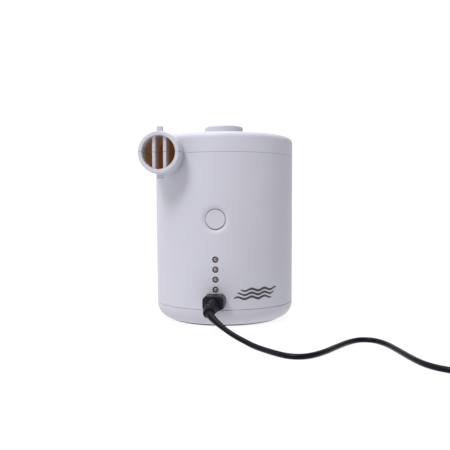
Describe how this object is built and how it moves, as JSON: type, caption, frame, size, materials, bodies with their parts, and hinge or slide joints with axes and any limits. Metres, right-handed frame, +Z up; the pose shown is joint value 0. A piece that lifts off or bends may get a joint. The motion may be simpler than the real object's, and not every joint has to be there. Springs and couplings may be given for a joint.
{
  "type": "electric air mattress pump",
  "caption": "Hand-sized rechargeable air pump: round white body with side outlet nozzle, top inlet collar, power button, charge lights and a plugged-in USB charging lead.",
  "frame": {"origin": "on the round body's axis, at the plane that the rubber foot stands on", "axes": "+Z up along the body's axis, the side with the button and lights faces -Y, the outlet nozzle points to -Y at the left (-X)"},
  "size_m": [0.2249, 0.1901, 0.1334],
  "materials": {
    "shell_white": "fine satin moulded plastic",
    "trim_white": "satin moulded plastic",
    "button_white": "satin moulded plastic",
    "black_plastic": "fine matt moulded plastic",
    "cord_black": "satin soft vinyl sleeve",
    "foot_rubber": "matt rubber",
    "gasket_foam": "closed cell foam",
    "fan_plastic": "moulded nylon",
    "steel": "zinc plated",
    "motor_zinc": "dull zinc plate",
    "lamination": "stacked laminations",
    "copper": "enamelled copper",
    "brass": "plain brass",
    "magnet": "dull ferrite",
    "carbon": "dull carbon",
    "cell_sleeve": "shrink sleeve",
    "board": "solder mask",
    "chip": "moulded package",
    "capacitor": "sleeved can",
    "connector": "moulded nylon",
    "led_clear": "clear water-white epoxy",
    "wire_red": "wire sleeve",
    "wire_black": "wire sleeve",
    "plug_black": "satin moulded vinyl",
    "contact_metal": "nickel plated"
  },
  "bodies": {
    "housing": {"main_body": "shell_white", "top_cover": "shell_white", "base_cap": "shell_white", "inlet_grille": "trim_white", "foot_ring": "foot_rubber", "volute_deck": "trim_white", "scroll_gasket": "gasket_foam", "motor_can": "motor_zinc", "motor_end_cap": "black_plastic", "motor_bushes": "brass", "motor_magnets": "magnet", "motor_brushes": "carbon", "motor_terminals": "brass", "motor_screws": "steel", "cell_left": "cell_sleeve", "cell_right": "cell_sleeve", "battery_tray": "black_plastic", "battery_clamp": "black_plastic", "clamp_screws": "steel", "cell_link": "contact_metal", "cell_tabs": "contact_metal", "control_board": "board", "control_chip": "chip", "power_inductor": "chip", "board_capacitors": "capacitor", "wire_connectors": "connector", "board_screws": "steel", "tact_switch": "black_plastic", "status_led_1": "led_clear", "status_led_2": "led_clear", "status_led_3": "led_clear", "status_led_4": "led_clear", "led_legs": "steel", "charge_socket": "black_plastic", "motor_lead_red": "wire_red", "motor_lead_black": "wire_black", "battery_lead_red": "wire_red", "battery_lead_black": "wire_black", "cover_screws": "steel", "base_screws": "steel"},
    "rotor": {"impeller": "fan_plastic", "impeller_bush": "brass", "motor_shaft": "steel", "armature_core": "lamination", "armature_windings": "copper", "commutator": "copper"},
    "button": {"power_button": "button_white", "tact_plunger": "black_plastic"},
    "charging_lead": {"plug_block": "plug_black", "plug_barrel": "contact_metal", "strain_relief": "plug_black", "lead_cord": "cord_black", "lead_tail": "cord_black", "lead_coil": "cord_black", "coil_tie": "cord_black", "usb_body": "plug_black", "usb_shell": "contact_metal", "usb_tongue": "trim_white"}
  },
  "joints": [
    {"name": "rotor_spin", "type": "hinge", "parent": "housing", "child": "rotor", "pos_m": [0, 0, 0.08], "axis": [0, 0, 1], "continuous": true},
    {"name": "button_press", "type": "slide", "parent": "housing", "child": "button", "axis": [0, 1, 0], "range_m": [0, 0.0007], "stiffness_N_per_m": 800, "springref_m": -0.0008},
    {"name": "plug_pull", "type": "slide", "parent": "housing", "child": "charging_lead", "axis": [0, -1, 0], "range_m": [0, 0.012]}
  ]
}
